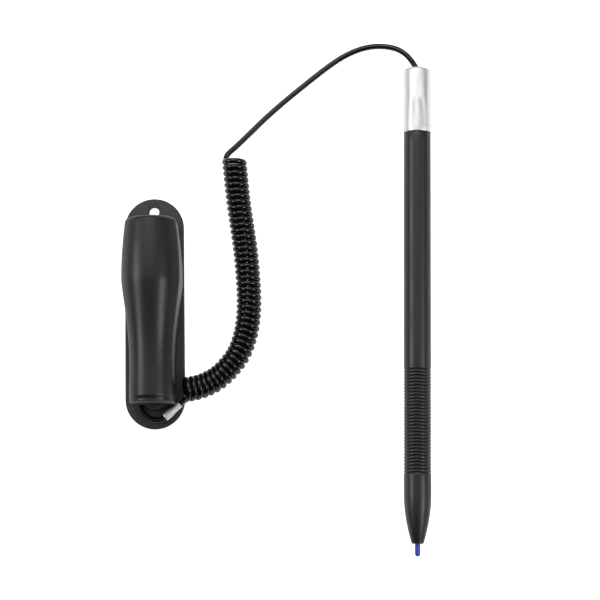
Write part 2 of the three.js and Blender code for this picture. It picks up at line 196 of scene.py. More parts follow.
class StylusPenSettings(bpy.types.PropertyGroup):
    lean: FloatProperty(
        name="Lean", description="Turn of the pen from the holder's long direction, clockwise",
        default=math.radians(1.26), unit="ROTATION",
    )
    radius: length("Barrel radius", "Outer radius of the barrel", 4.0)
    cap_radius: length("Cap radius", "Outer radius of the metal end cap", 4.15)
    cap_length: length("Cap length", "Length of the metal end cap", 19.5)
    grip_start: length("Grip start", "From the cap's lower edge to the first rib", 70.4)
    rib_pitch: length("Rib pitch", "From one grip rib to the next", 0.974)
    rib_depth: length("Rib depth", "Depth of the grooves between the ribs", 0.25)
    rib_count: IntProperty(name="Ribs", description="Number of grip ribs", default=32, min=1)
    nose_length: length("Nose length", "Length of the barrel's tapered nose", 14.2)
    nose_end_radius: length("Nose end radius", "Radius of the nose where the nib comes out", 1.85)
    nib_radius: length("Nib radius", "Radius of the nib", 0.78)
    nib_reach: length("Nib reach", "How far the nib stands out of the nose", 3.65)
    barrel_colour: colour("Barrel colour", "Satin moulded ABS of the barrel", "#161617")
    cap_colour: colour("Cap colour", "Clear anodised aluminium", "#efefee")
    nib_colour: colour("Nib colour", "Moulded acetal of the nib", "#2537b6")


class StylusStageSettings(bpy.types.PropertyGroup):
    camera_place: FloatVectorProperty(
        name="Camera place", description="Where the camera stands", size=3, subtype="TRANSLATION",
        default=(0.053913, -0.072048, 0.560), unit="LENGTH",
    )
    camera_turn: FloatVectorProperty(
        name="Camera turn", description="Tilt, roll and pan of the camera", size=3, subtype="EULER",
        default=tuple(math.radians(a) for a in (7.667, 1.2071, -0.8445)), unit="ROTATION",
    )
    view_angle: FloatProperty(
        name="View angle", description="Angle that the camera takes in",
        default=math.radians(18.003), unit="ROTATION",
    )
    floor_size: FloatProperty(
        name="Floor size", description="Side of the square floor", default=6.0, unit="LENGTH"
    )
    floor_colour: colour("Floor colour", "Matt white paper", "#f4f4f4")
    floor_glow: FloatProperty(
        name="Floor glow", description="Light that comes through the paper from below",
        default=0.9,
    )
    floor_shine: FloatProperty(
        name="Floor shine", description="How bright the paper looks in shiny surfaces",
        default=0.36,
    )
    key_power: FloatProperty(
        name="Key", description="Power of the left strip light in watts", default=2.9
    )
    side_power: FloatProperty(
        name="Side", description="Power of the right strip light in watts", default=3.4
    )
    back_power: FloatProperty(
        name="Back", description="Power of the soft light at the top in watts", default=3.0
    )
    sky: FloatProperty(name="Sky", description="Brightness of the whole room", default=0.9)


class StylusSettings(bpy.types.PropertyGroup):
    holder: PointerProperty(type=StylusHolderSettings)
    cord: PointerProperty(type=StylusCordSettings)
    pen: PointerProperty(type=StylusPenSettings)
    stage: PointerProperty(type=StylusStageSettings)


# ---- Curves -------------------------------------------------------------------------------------


def value_at(points, x):
    """Height at x of a smooth curve through (x, height) points."""
    i = max(k for k, (px, _) in enumerate(points[:-1]) if px <= x or k == 0)
    (x0, y0), (x1, y1) = points[i], points[i + 1]

    def slope(k):
        low, high = points[max(k - 1, 0)], points[min(k + 1, len(points) - 1)]
        return (high[1] - low[1]) / (high[0] - low[0])

    span = x1 - x0
    t = (x - x0) / span
    rise = y1 - y0
    a = slope(i) * span - rise
    b = rise - slope(i + 1) * span
    return y0 + t * rise + t * (1 - t) * (a * (1 - t) + b * t)


def centripetal(a, b, c, d, share):
    """The point at a share of the way from b to c, on the smooth curve through a, b, c and d."""
    times = [0.0]
    for p, q in ((a, b), (b, c), (c, d)):
        times.append(times[-1] + math.sqrt((q - p).length))
    at = times[1] + (times[2] - times[1]) * share

    def mix(p, q, i, j):
        return p + (q - p) * ((at - times[i]) / (times[j] - times[i]))

    ab, bc, cd = mix(a, b, 0, 1), mix(b, c, 1, 2), mix(c, d, 2, 3)
    return mix(mix(ab, bc, 0, 2), mix(bc, cd, 1, 3), 1, 2)


def curve_through(points, spacing):
    """Points at most spacing apart on one smooth curve through the given ones."""
    knots = [Vector(p) for p in points]
    knots = [2 * knots[0] - knots[1], *knots, 2 * knots[-1] - knots[-2]]
    line = []
    for a, b, c, d in zip(knots, knots[1:], knots[2:], knots[3:]):
        steps = max(1, math.ceil((c - b).length / spacing))
        line += [centripetal(a, b, c, d, i / steps) for i in range(steps)]
    return [*line, knots[-2]]


def even(line, count):
    """The line again as count points, evenly spaced along it."""
    along = [0.0]
    for a, b in zip(line, line[1:]):
        along.append(along[-1] + (b - a).length)
    made, k = [], 0
    for i in range(count):
        at = along[-1] * i / (count - 1)
        while k < len(line) - 2 and along[k + 1] < at:
            k += 1
        share = (at - along[k]) / (along[k + 1] - along[k])
        made.append(line[k].lerp(line[k + 1], min(1.0, share)))
    return made


def directions(line):
    """Unit directions along a line, one for each of its points."""
    last = len(line) - 1
    return [(line[min(i + 1, last)] - line[max(i - 1, 0)]).normalized() for i in range(len(line))]


# ---- Meshes -------------------------------------------------------------------------------------


def make_object(name, points, faces, finish, sharp_angle=35):
    """A smooth-shaded mesh object whose edges steeper than sharp_angle degrees stay sharp."""
    mesh = bpy.data.meshes.new(name)
    mesh.from_pydata([tuple(p) for p in points], [], faces)
    mesh.validate()
    mesh.shade_smooth()
    mesh.set_sharp_from_angle(angle=math.radians(sharp_angle))
    mesh.materials.append(finish)
    made = bpy.data.objects.new(name, mesh)
    bpy.context.scene.collection.objects.link(made)
    return made


def loft(rings, start=None, end=None, closed=False):
    """Points and faces of a skin over rings of equal count, with a point that closes each end."""
    count = len(rings[0])
    points = [p for ring in rings for p in ring]
    rows = len(rings)
    faces = []
    for row in range(rows if closed else rows - 1):
        low, high = row * count, (row + 1) % rows * count
        for i in range(count):
            j = (i + 1) % count
            faces.append((low + i, low + j, high + j, high + i))
    for tip, row, turn in ((start, 0, -1), (end, rows - 1, 1)):
        if tip is not None:
            points.append(tip)
            for i in range(count):
                pair = (row * count + i, row * count + (i + 1) % count)
                faces.append((*pair[::turn], len(points) - 1))
    return points, faces


def turned(profile, segments=96):
    """Points and faces of a closed profile of (radius, y) turned about the Y axis.

    A profile that starts and ends on the axis is closed by a point at each end, and any other
    profile closes on itself."""
    on_axis = profile[0][0] == 0
    inner = profile[1:-1] if on_axis else profile
    rings = []
    for radius, y in inner:
        turns = [2 * math.pi * i / segments for i in range(segments)]
        rings.append([Vector((radius * math.cos(a), y, -radius * math.sin(a))) for a in turns])
    if on_axis:
        tips = [Vector((0, y, 0)) for _, y in (profile[0], profile[-1])]
        return loft(rings, *tips)
    return loft(rings, closed=True)


def arc(cx, cy, radius, start, stop, steps):
    """Points of an arc between two angles in degrees."""
    angles = [math.radians(start + (stop - start) * i / steps) for i in range(steps + 1)]
    return [(cx + radius * math.cos(a), cy + radius * math.sin(a)) for a in angles]


def stadium_ring(radius, span, z, steps=48):
    """A ring with straight sides and round ends, its long way along Y."""
    points = arc(0, span / 2, radius, 0, 180, steps) + arc(0, -span / 2, radius, 180, 360, steps)
    return [Vector((x, y, z)) for x, y in points]


def stadium_body(radius, span, z0, z1, edge, flare=0.0):
    """A closed plate with a round front edge, whose side bulges by flare in the middle."""
    steps = 6
    rings = [stadium_ring(radius, span, z0)]
    for i in range(1, steps):
        z = z0 + (z1 - edge - z0) * i / steps
        rings.append(stadium_ring(radius + flare * math.sin(math.pi * i / steps), span, z))
    for r, z in arc(radius - edge, z1 - edge, edge, 0, 90, steps):
        rings.append(stadium_ring(r, span, z))
    return loft(rings, Vector((0, 0, z0)), Vector((0, 0, z1)))


def standing(points_and_faces, x, y):
    """A body turned about the Y axis, stood up along Z at (x, y)."""
    points, faces = points_and_faces
    return [Vector((x + p.x, y - p.z, p.y)) for p in points], faces


def combine(body, other, operation):
    """Joins another object to a body, or cuts it out, and removes the other object."""
    step = body.modifiers.new("step", "BOOLEAN")
    step.operation = operation
    step.solver = "EXACT"
    step.object = other
    shaped = bpy.data.meshes.new_from_object(
        body.evaluated_get(bpy.context.evaluated_depsgraph_get())
    )
    body.modifiers.clear()
    body.data = shaped
    bpy.data.objects.remove(other)


def tube(line, radius, sides):
    """Points and faces of a round tube along a line, without twist."""
    ways = directions(line)
    side = ways[0].cross(Vector((0, 0, 1))).normalized()
    rings = []
    for i, (middle, way) in enumerate(zip(line, ways)):
        if i:
            side = ways[i - 1].rotation_difference(way) @ side
            side = (side - way * side.dot(way)).normalized()
        up = way.cross(side)
        turns = [2 * math.pi * k / sides for k in range(sides)]
        rings.append([middle + radius * (math.cos(a) * side + math.sin(a) * up) for a in turns])
    return loft(rings, line[0], line[-1])


# ---- Materials ----------------------------------------------------------------------------------


def add_node(tree, kind, settings=None, links=None):
    """Adds a node. Settings are its properties or inputs, and links join inputs to outputs."""
    made = tree.nodes.new(kind)
    for key, value in (settings or {}).items():
        if isinstance(key, str) and hasattr(made, key):
            setattr(made, key, value)
        else:
            made.inputs[key].default_value = value
    for key, output in (links or {}).items():
        tree.links.new(output, made.inputs[key])
    return made


def new_material(name, **shader):
    """Makes a material with one Principled shader.

    Returns the material, its node tree, the shader and the output of its object coordinates."""
    finish = bpy.data.materials.new(name)
    finish.use_nodes = True
    tree = finish.node_tree
    tree.nodes.clear()
    settings = {key.replace("_", " "): value for key, value in shader.items()}
    principled = add_node(tree, "ShaderNodeBsdfPrincipled", settings)
    add_node(tree, "ShaderNodeOutputMaterial", links={"Surface": principled.outputs[0]})
    place = add_node(tree, "ShaderNodeTexCoord").outputs["Object"]
    return finish, tree, principled, place


def per_metre(size_mm):
    """A noise texture's scale whose features are about size_mm across."""
    return 1 / (size_mm * MM)


def vary(tree, principled, socket, source, low, high):
    """Drives a shader input between two values by a texture's 0 to 1 output."""
    spread = add_node(
        tree, "ShaderNodeMapRange",
        {"From Min": 0.3, "From Max": 0.7, "To Min": low, "To Max": high},
        {"Value": source},
    )
    tree.links.new(spread.outputs["Result"], principled.inputs[socket])


def tint(tree, principled, source, dark, light):
    """Drives the base colour between two colours by a texture's 0 to 1 output."""
    mixed = add_node(
        tree, "ShaderNodeMix",
        {"data_type": "RGBA", 6: (*dark, 1), 7: (*light, 1)},
        {0: source},
    )
    tree.links.new(mixed.outputs[2], principled.inputs["Base Color"])


def relief(tree, principled, source, depth_mm, strength=1.0):
    """Raises the surface by up to depth_mm where a texture's output is high."""
    raised = add_node(
        tree, "ShaderNodeBump", {"Strength": strength, "Distance": depth_mm * MM},
        {"Height": source},
    )
    tree.links.new(raised.outputs[0], principled.inputs["Normal"])


def shaded(base, factor):
    """A colour made darker or lighter."""
    return tuple(min(1.0, c * factor) for c in base)


def moulded_plastic(name, base, roughness, grain_mm, relief_mm, ior=1.54):
    """Moulded ABS: the mould's fine grain breaks up its gloss, and handling dulls it in patches."""
    spread, patch_mm = 0.05, 14
    finish, tree, shader, place = new_material(name, IOR=ior)
    grain = add_node(
        tree, "ShaderNodeTexNoise",
        {"Scale": per_metre(grain_mm), "Detail": 3.0, "Roughness": 0.6}, {"Vector": place},
    )
    patches = add_node(
        tree, "ShaderNodeTexNoise", {"Scale": per_metre(patch_mm), "Detail": 4.0},
        {"Vector": place},
    )
    tint(tree, shader, grain.outputs["Fac"], shaded(base, 0.82), shaded(base, 1.2))
    vary(tree, shader, "Roughness", patches.outputs["Fac"], roughness - spread, roughness + spread)
    relief(tree, shader, grain.outputs["Fac"], relief_mm)
    return finish


def satin_moulded_abs(name, base, ior=1.54):
    """Satin ABS from a fine-blasted mould: broad soft strips of light with a faint grain."""
    # The blasted grain is near 0.05 mm and is drawn at 0.28 mm, so that it shows.
    return moulded_plastic(name, base, 0.4, 0.28, 0.006, ior)


def spark_eroded_abs(name, base):
    """Spark-eroded ABS: a coarser matt grain that goes pale and even under soft light."""
    return moulded_plastic(name, base, 0.56, 0.35, 0.014)


def extruded_polyurethane(name, base):
    """Extruded polyurethane jacket: wet-looking gloss with very slight draw lines and dust."""
    finish, tree, shader, place = new_material(name, IOR=1.5)
    dust = add_node(
        tree, "ShaderNodeTexNoise", {"Scale": per_metre(1.2), "Detail": 5.0}, {"Vector": place}
    )
    ripple = add_node(
        tree, "ShaderNodeTexNoise", {"Scale": per_metre(0.9), "Detail": 1.0}, {"Vector": place}
    )
    tint(tree, shader, dust.outputs["Fac"], shaded(base, 0.8), shaded(base, 1.3))
    vary(tree, shader, "Roughness", dust.outputs["Fac"], 0.17, 0.26)
    relief(tree, shader, ripple.outputs["Fac"], 0.006)
    return finish


def brushed_anodised_aluminium(name, base):
    """Aluminium tube, brushed and clear anodised: fine bright and grey streaks along it."""
    finish, tree, shader, place = new_material(
        name, Metallic=1.0, Anisotropic=0.45, Coat_Weight=0.12, Coat_Roughness=0.2
    )
    # Brush marks are near 0.05 mm wide and are drawn at 0.16 mm, so that they show.
    mark_width, mark_length = per_metre(0.16), per_metre(14)
    stretched = add_node(
        tree, "ShaderNodeMapping", {"Scale": (mark_width, mark_length, mark_width)},
        {"Vector": place},
    )
    streaks = add_node(
        tree, "ShaderNodeTexNoise", {"Scale": 1.0, "Detail": 3.0}, {"Vector": stretched.outputs[0]}
    )
    tint(tree, shader, streaks.outputs["Fac"], shaded(base, 0.86), shaded(base, 1.08))
    vary(tree, shader, "Roughness", streaks.outputs["Fac"], 0.43, 0.53)
    relief(tree, shader, streaks.outputs["Fac"], 0.004, 0.5)
    return finish


def metal(name, base, low, high, mark_mm, relief_mm):
    """Bare metal with marks of its making: roughness runs from low to high across them."""
    finish, tree, shader, place = new_material(name, Metallic=1.0)
    marks = add_node(
        tree, "ShaderNodeTexNoise", {"Scale": per_metre(mark_mm), "Detail": 4.0}, {"Vector": place}
    )
    tint(tree, shader, marks.outputs["Fac"], shaded(base, 0.85), shaded(base, 1.1))
    vary(tree, shader, "Roughness", marks.outputs["Fac"], low, high)
    relief(tree, shader, marks.outputs["Fac"], relief_mm)
    return finish


def closed_cell_foam(name, base):
    """Closed-cell foam tape, cut at its sides: matt, with small round open cells."""
    finish, tree, shader, place = new_material(name, Roughness=0.9, IOR=1.45)
    cells = add_node(
        tree, "ShaderNodeTexVoronoi", {"Scale": per_metre(0.35), "Randomness": 1.0},
        {"Vector": place},
    )
    tint(tree, shader, cells.outputs["Distance"], shaded(base, 0.7), shaded(base, 1.15))
    relief(tree, shader, cells.outputs["Distance"], 0.06)
    return finish


def moulded_acetal(name, base):
    """Moulded acetal: slightly waxy and see-through at the skin, smooth, with a soft shine."""
    finish, tree, shader, place = new_material(
        name, IOR=1.48, Subsurface_Weight=0.25, Subsurface_Scale=0.0006,
        Subsurface_Radius=(0.3, 0.4, 1.0),
    )
    clouds = add_node(
        tree, "ShaderNodeTexNoise", {"Scale": per_metre(0.8), "Detail": 2.0}, {"Vector": place}
    )
    tint(tree, shader, clouds.outputs["Fac"], shaded(base, 0.9), shaded(base, 1.12))
    vary(tree, shader, "Roughness", clouds.outputs["Fac"], 0.3, 0.42)
    return finish


def white_paper(name, base, glow, shine):
    """Matt white paper on a light table: an even glow, which draws pale rims on shiny edges."""
    finish, tree, shader, place = new_material(name, Roughness=0.95, Emission_Color=(1, 1, 1, 1))
    ray = add_node(tree, "ShaderNodeLightPath").outputs
    mirrored = add_node(
        tree, "ShaderNodeMath", {"operation": "MULTIPLY", 1: shine}, {0: ray["Is Glossy Ray"]}
    )
    level = add_node(
        tree, "ShaderNodeMath", {"operation": "MULTIPLY_ADD", 1: glow},
        {0: ray["Is Camera Ray"], 2: mirrored.outputs[0]},
    )
    tree.links.new(level.outputs[0], shader.inputs["Emission Strength"])
    fibres = add_node(
        tree, "ShaderNodeTexNoise", {"Scale": per_metre(2), "Detail": 3.0}, {"Vector": place}
    )
    tint(tree, shader, fibres.outputs["Fac"], shaded(base, 0.985), shaded(base, 1.0))
    return finish


# ---- Stage --------------------------------------------------------------------------------------


def area_light(name, towards, width, long, watts, aim):
    """A soft rectangular light 1 m from the point it faces, its long way along Y."""
    data = bpy.data.lights.new(name, "AREA")
    data.shape = "RECTANGLE"
    data.size, data.size_y = width, long
    data.energy = watts
    made = bpy.data.objects.new(name, data)
    way = Vector(towards).normalized()
    across = Vector((0, 1, 0)).cross(way).normalized()
    turn = Matrix((across, way.cross(across), way)).transposed()
    made.matrix_world = Matrix.Translation(aim + way) @ turn.to_4x4()
    bpy.context.scene.collection.objects.link(made)


# (Height, brightness) of the room, from straight below (0) over the horizon (0.5) to overhead (1).
ROOM_LEVELS = ((0.0, 0.3), (0.47, 0.3), (0.5, 0.12), (0.62, 0.15), (0.82, 0.33), (1.0, 0.8))


def make_world(settings):
    """A room that is brighter overhead than near the horizon, and pale where it is seen itself."""
    world = bpy.data.worlds.new("studio")
    bpy.context.scene.world = world
    world.use_nodes = True
    tree = world.node_tree
    tree.nodes.clear()
    way = add_node(tree, "ShaderNodeTexCoord").outputs["Generated"]
    parts = add_node(tree, "ShaderNodeSeparateXYZ", links={0: way}).outputs
    share = add_node(
        tree, "ShaderNodeMapRange", {"From Min": -1.0, "From Max": 1.0}, {"Value": parts["Z"]}
    ).outputs[0]
    level = add_node(tree, "ShaderNodeValToRGB", links={"Fac": share})
    while len(level.color_ramp.elements) < len(ROOM_LEVELS):
        level.color_ramp.elements.new(0.5)
    for stop, (place, brightness) in zip(level.color_ramp.elements, ROOM_LEVELS):
        stop.position = place
        stop.color = (brightness, brightness, brightness, 1)
    # The room is darker towards -Y, below the holder's foot.
    front, back, turn = 0.08 * settings.sky, 1.2 * settings.sky, 0.3
    depth = add_node(
        tree, "ShaderNodeMapRange",
        {"From Min": -turn, "From Max": turn, "To Min": front, "To Max": back},
        {"Value": parts["Y"]},
    )
    room = add_node(
        tree, "ShaderNodeBackground",
        links={"Color": level.outputs[0], "Strength": depth.outputs[0]},
    )
    seen = add_node(tree, "ShaderNodeBackground", {"Color": (1, 1, 1, 1), "Strength": 1.0})
    ray = add_node(tree, "ShaderNodeLightPath").outputs["Is Camera Ray"]
    mixed = add_node(
        tree, "ShaderNodeMixShader", links={0: ray, 1: room.outputs[0], 2: seen.outputs[0]}
    )
    add_node(tree, "ShaderNodeOutputWorld", links={"Surface": mixed.outputs[0]})


class STYLUS_OT_stage(bpy.types.Operator):
    """Makes the camera, the white floor, the strip lights and the room"""

    bl_idname = "stylus.stage"
    bl_label = "Stage"

    def execute(self, context):
        settings = context.scene.stylus.stage
        lens = bpy.data.cameras.new("camera")
        lens.angle = settings.view_angle
        lens.clip_start, lens.clip_end = 0.01, 20
        camera = bpy.data.objects.new("camera", lens)
        camera.location = settings.camera_place
        camera.rotation_euler = settings.camera_turn
        context.scene.collection.objects.link(camera)
        context.scene.camera = camera
        context.scene.view_settings.view_transform = "Standard"

        # The floor is a hair below the pad, so that the two faces don't flicker.
        half, drop = settings.floor_size / 2, 0.02 * MM
        sides = ((-half, -half), (half, -half), (half, half), (-half, half))
        corners = [(x, y, -drop) for x, y in sides]
        paper = white_paper(
            "white_paper", settings.floor_colour, settings.floor_glow, settings.floor_shine
        )
        floor = make_object("floor", corners, [(0, 1, 2, 3)], paper)

        low, high = cad_box
        aim = (low + high) / 2
        for name, towards, width, long, watts in (
            ("key_strip", (-0.8, 0.1, 0.6), 0.26, 0.42, settings.key_power),
            ("side_strip", (0.74, -0.22, 0.67), 0.24, 0.42, settings.side_power),
            ("back_soft", (-0.1, 0.62, 0.79), 0.7, 0.45, settings.back_power),
        ):
            area_light(name, towards, width, long, watts, aim)
        make_world(settings)
        return {"FINISHED"}


# ---- Cord ---------------------------------------------------------------------------------------


def pen_matrix(pen):
    """Places the pen: its axis along its own Y, the nib's tip at its origin."""
    low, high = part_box("barrel")
    nib_low, nib_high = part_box("nib")
    middle = (low.z + high.z) / 2
    tip = Vector(((nib_low.x + nib_high.x) / 2, nib_low.y, middle))
    reach = (nib_high.y - nib_low.y) / 2
    tip.x -= reach * math.tan(pen.lean)
    return Matrix.Translation(tip) @ Matrix.Rotation(-pen.lean, 4, "Z")


def pen_length(pen):
    """From the nib's tip to the end cap's far end."""
    _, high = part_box("end_cap")
    nib_low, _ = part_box("nib")
    sideways = pen.cap_radius * math.sin(pen.lean)
    return (high.y - nib_low.y - sideways) / math.cos(pen.lean)


def helix(cord):
    """The curly stretch, wound left-handed about the coil's middle line.

    It stays half a cord inside each end of the coil, and its first turns are a little looser."""
    rings_per_turn, fineness = 24, 12
    loose, reach = 0.02, 12 * MM
    start_angle, end_angle = math.radians(-75), math.radians(115)
    total = 2 * math.pi * cord.turns + end_angle - start_angle
    count = round(rings_per_turn * total / (2 * math.pi)) + 1
    middle = even(curve_through(COIL_ROUTE, 0.3 * MM), fineness * count)
    step = (middle[1] - middle[0]).length
    trim = round(cord.diameter / 2 / step)
    middle = middle[trim:-trim]
    wound = [0.0]
    for i in range(1, len(middle)):
        wound.append(wound[-1] + 1 / (1 + loose * math.exp(-i * step / reach)))
    ways = directions(middle)
    line, k = [], 0
    for i in range(count):
        while k < len(wound) - 1 and wound[k] < wound[-1] * i / (count - 1):
            k += 1
        left = Vector((0, 0, 1)).cross(ways[k]).normalized()
        up = ways[k].cross(left)
        angle = start_angle + total * i / (count - 1)
        line.append(middle[k] + cord.coil_radius * (math.cos(angle) * up + math.sin(angle) * left))
    return line


def cord_line(context):
    """The whole cord: its end under the cup, the loop, the ferrule, the coil, the lead, the pen."""
    settings = context.scene.stylus
    place = pen_matrix(settings.pen)
    top = pen_length(settings.pen)
    depths_mm = (0.4, 3.0, 5.9)
    inside = [place @ Vector((0, top - depth * MM, 0)) for depth in depths_mm]
    coil = helix(settings.cord)
    spacing, closest, floor_gap = 0.7 * MM, 0.2 * MM, 0.03 * MM
    start = [*LOOP_ROUTE[::-1], FERRULE_START, FERRULE_END, *RISE_ROUTE, *coil[:3]]
    loop = curve_through(start, spacing)
    lead = curve_through([*coil[-3:], *LEAD_ROUTE, *inside], spacing)
    lowest = settings.cord.diameter / 2 + floor_gap
    lead = [Vector((p.x, p.y, max(p.z, lowest))) for p in lead if p not in coil[-3:]]
    line = [p for p in loop if p not in coil[:3]] + coil + lead
    kept = line[:1]
    for p in line[1:]:
        if (p - kept[-1]).length > closest:
            kept.append(p)
    return kept


class STYLUS_OT_cord(bpy.types.Operator):
    """Makes the cord as one tube, from its end under the cup to the stop inside the pen"""

    bl_idname = "stylus.cord"
    bl_label = "Cord"

    def execute(self, context):
        settings = context.scene.stylus
        line = cord_line(context)
        points, faces = tube(line, settings.cord.diameter / 2, 14)
        finish = extruded_polyurethane("extruded_polyurethane", settings.cord.jacket_colour)
        cord = make_object("tether_cord", points, faces, finish, 60)
        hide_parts("cord_loop", "cord_coil", "cord_lead", "cord_tip")
        exit_point = pen_matrix(settings.pen) @ Vector((0, pen_length(settings.pen), 0))
        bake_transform(cord)
        return {"FINISHED"}


class STYLUS_OT_ferrule(bpy.types.Operator):
    """Makes the pressed aluminium ferrule that holds the cord's loop closed"""

    bl_idname = "stylus.ferrule"
    bl_label = "Ferrule"

    def execute(self, context):
        cord = context.scene.stylus.cord
        axis = FERRULE_END - FERRULE_START
        long = axis.length
        inner = cord.diameter / 2 + 0.03 * MM
        lip = 0.12 * MM
        oval, seam_depth, seam_angle, seam_width = 0.045, 0.1 * MM, math.radians(120), 0.09
        outside = [
            (0.0, 1.1), (0.04, 1.18), (0.12, 1.2), (0.3, 1.19), (0.45, 1.12), (0.6, 1.02),
            (0.75, 0.97), (0.9, 0.96), (0.97, 0.95), (1.0, 0.9),
        ]
        segments, rows = 72, 44
        rings = []
        for i in range(rows + 1):
            share = i / rows
            radius = value_at(outside, share) * MM
            ring = []
            for k in range(segments):
                angle = 2 * math.pi * k / segments
                seam = math.exp(-(((angle - seam_angle) / seam_width) ** 2))
                flats = 1 + oval * math.cos(2 * angle) * math.sin(math.pi * share)
                r = radius * flats - seam_depth * seam
                ring.append(Vector((r * math.cos(angle), share * long, -r * math.sin(angle))))
            rings.append(ring)
        mouth = ((1.0, inner + lip), (0.985, inner), (0.015, inner), (0.0, inner + lip))
        for share, radius in mouth:
            turns = [2 * math.pi * k / segments for k in range(segments)]
            rings.append(
                [Vector((radius * math.cos(a), share * long, -radius * math.sin(a))) for a in turns]
            )
        points, faces = loft(rings, closed=True)
        turn = Vector((0, 1, 0)).rotation_difference(axis.normalized()).to_matrix().to_4x4()
        place = Matrix.Translation(FERRULE_START) @ turn
        finish = metal("pressed_aluminium", cord.ferrule_colour, 0.52, 0.62, 1.6, 0.004)
        made = make_object("ferrule", [place @ p for p in points], faces, finish, 50)
        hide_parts("crimp_ferrule")
        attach(made, "tether")
        return {"FINISHED"}


# ---- Holder -------------------------------------------------------------------------------------


class STYLUS_OT_pad(bpy.types.Operator):
    """Makes the foam tape under the backplate"""

    bl_idname = "stylus.pad"
    bl_label = "Adhesive pad"

    def execute(self, context):
        holder = context.scene.stylus.holder
        low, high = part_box("adhesive_pad")
        _, plate_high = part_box("base_plate")
        radius = (high.x - low.x) / 2
        span = high.y - low.y - 2 * radius
        finish = closed_cell_foam("closed_cell_foam", holder.pad_colour)
        edge, waist, hole_room = 0.05 * MM, -0.06 * MM, 0.4 * MM
        body = stadium_body(radius, span, low.z, high.z, edge, waist)
        pad = make_object("foam_pad", *body, finish)
        hole = holder.hole_radius + hole_room
        cut = turned([(0, -MM), (hole, -MM), (hole, high.z + MM), (0, high.z + MM)], 64)
        y = plate_high.y - holder.hole_offset
        combine(pad, make_object("cut", *standing(cut, 0, y), finish), "DIFFERENCE")
        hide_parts("adhesive_pad")
        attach(pad, "holder")
        return {"FINISHED"}


class STYLUS_OT_plate(bpy.types.Operator):
    """Makes the backplate with its wall screw hole and the post for the cord"""

    bl_idname = "stylus.plate"
    bl_label = "Backplate"

    def execute(self, context):
        holder = context.scene.stylus.holder
        low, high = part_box("base_plate")
        cup_low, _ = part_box("pen_cup")
        front = cup_low.z
        radius = holder.plate_radius
        span = high.y - low.y - 2 * radius
        finish = spark_eroded_abs("spark_eroded_abs", holder.plate_colour)
        body = stadium_body(radius, span, low.z, front, holder.plate_edge)
        plate = make_object("backplate", *body, finish)

        lip = 0.18 * MM
        hole = holder.hole_radius
        profile = [(0, low.z - MM), (hole, low.z - MM), (hole, front - lip)]
        profile += [(hole + lip - r, z) for r, z in arc(0, front - lip, lip, 0, 90, 5)][1:]
        profile += [(hole + lip, front + MM), (0, front + MM)]
        cut = standing(turned(profile, 72), 0, high.y - holder.hole_offset)
        combine(plate, make_object("cut", *cut, finish), "DIFFERENCE")

        post, edge, fillet = holder.post_radius, 0.25 * MM, 0.3 * MM
        root = low.z + 0.4 * MM
        profile = [(0, root), (post + fillet, root)]
        profile += [(post + fillet + r, z) for r, z in arc(0, front + fillet, fillet, 270, 180, 5)]
        profile += arc(post - edge, high.z - edge, edge, 0, 90, 5)
        profile += [(0, high.z)]
        stood = standing(turned(profile, 72), 0, -span / 2)
        combine(plate, make_object("post", *stood, finish), "UNION")
        plate.data.shade_smooth()
        plate.data.set_sharp_from_angle(angle=math.radians(35))
        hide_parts("base_plate")
        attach(plate, "holder")
        return {"FINISHED"}


def cup_half_width(share):
    """Half-width of the cup at a share of its length from the foot, with a soft crease."""
    soft = 0.012
    near = []
    for step in (-1, -0.5, 0, 0.5, 1):
        at = min(1.0, max(0.0, share + soft * step))
        near.append(value_at(CUP_BELOW if at < CUP_ABOVE[0][0] else CUP_ABOVE, at))
    return sum(near) / len(near) * MM


